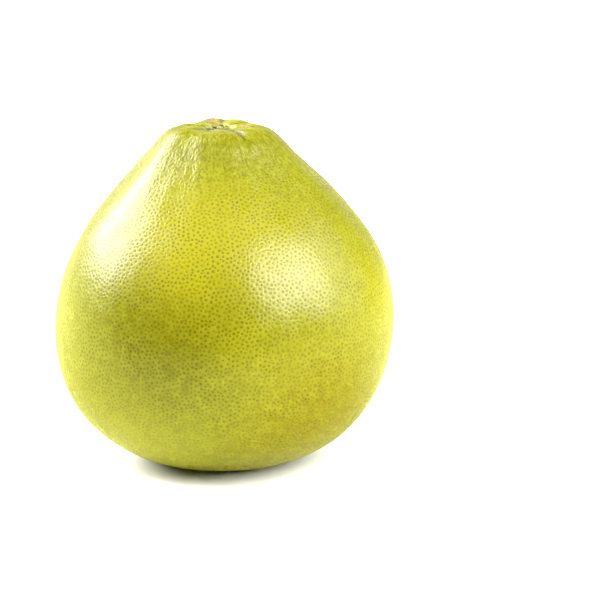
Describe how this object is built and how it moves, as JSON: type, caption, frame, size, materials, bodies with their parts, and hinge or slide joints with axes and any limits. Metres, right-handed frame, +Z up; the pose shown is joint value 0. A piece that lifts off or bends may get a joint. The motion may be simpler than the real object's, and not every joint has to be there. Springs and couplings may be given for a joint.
{
  "type": "pomelo",
  "caption": "Whole pomelo as picked: a large pear-shaped, yellow-green citrus fruit with a folded crown and a dried stem button, standing on its flat base.",
  "frame": {"origin": "middle of the flat spot that the fruit rests on", "axes": "+Z up through the stem end, -Y towards the viewer, +X to the viewer's right"},
  "size_m": [0.1502, 0.15, 0.1514],
  "materials": {
    "rind": "satin",
    "calyx": "matte"
  },
  "bodies": {
    "root": {"fruit": "rind", "stem_button": "calyx"}
  },
  "joints": []
}
